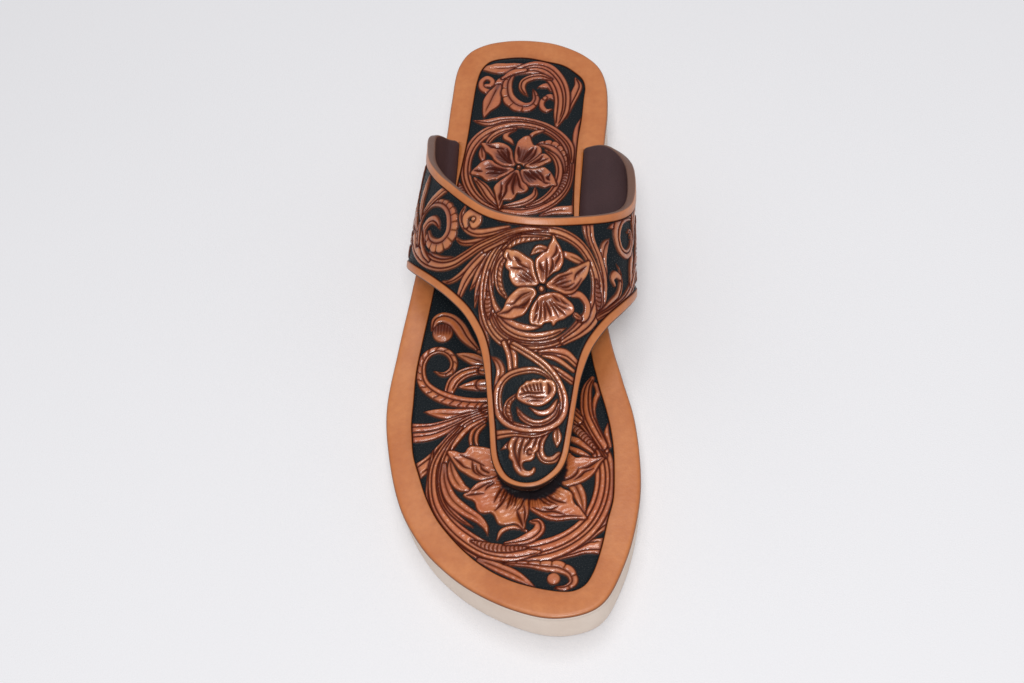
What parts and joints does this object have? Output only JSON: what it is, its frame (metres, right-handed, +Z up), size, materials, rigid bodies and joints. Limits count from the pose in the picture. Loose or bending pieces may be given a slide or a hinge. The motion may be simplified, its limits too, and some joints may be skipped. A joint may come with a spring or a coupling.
{
  "type": "toe post sandal",
  "caption": "Right toe post sandal with a wedge sole, a leather insole and a one-piece tooled leather upper that ends in a tongue at the toe post.",
  "frame": {"origin": "on the floor below the middle of the sandal's box", "axes": "+X towards the inner side of the foot, +Y towards the heel, +Z up"},
  "size_m": [0.0948, 0.2604, 0.0738],
  "materials": {
    "crepe_rubber": "matt cut crepe rubber, beige",
    "tan_leather": "tan vegetable tanned leather, tooled, with a black dyed ground and a waxed sheen",
    "tooled_leather": "tooled tan leather with a black dyed ground, dark brown lining and a glossy finish",
    "dark_leather": "dark brown thong leather, matt"
  },
  "bodies": {
    "root": {"sole": "crepe_rubber", "insole": "tan_leather", "upper": "tooled_leather", "toe_post": "dark_leather"}
  },
  "joints": []
}
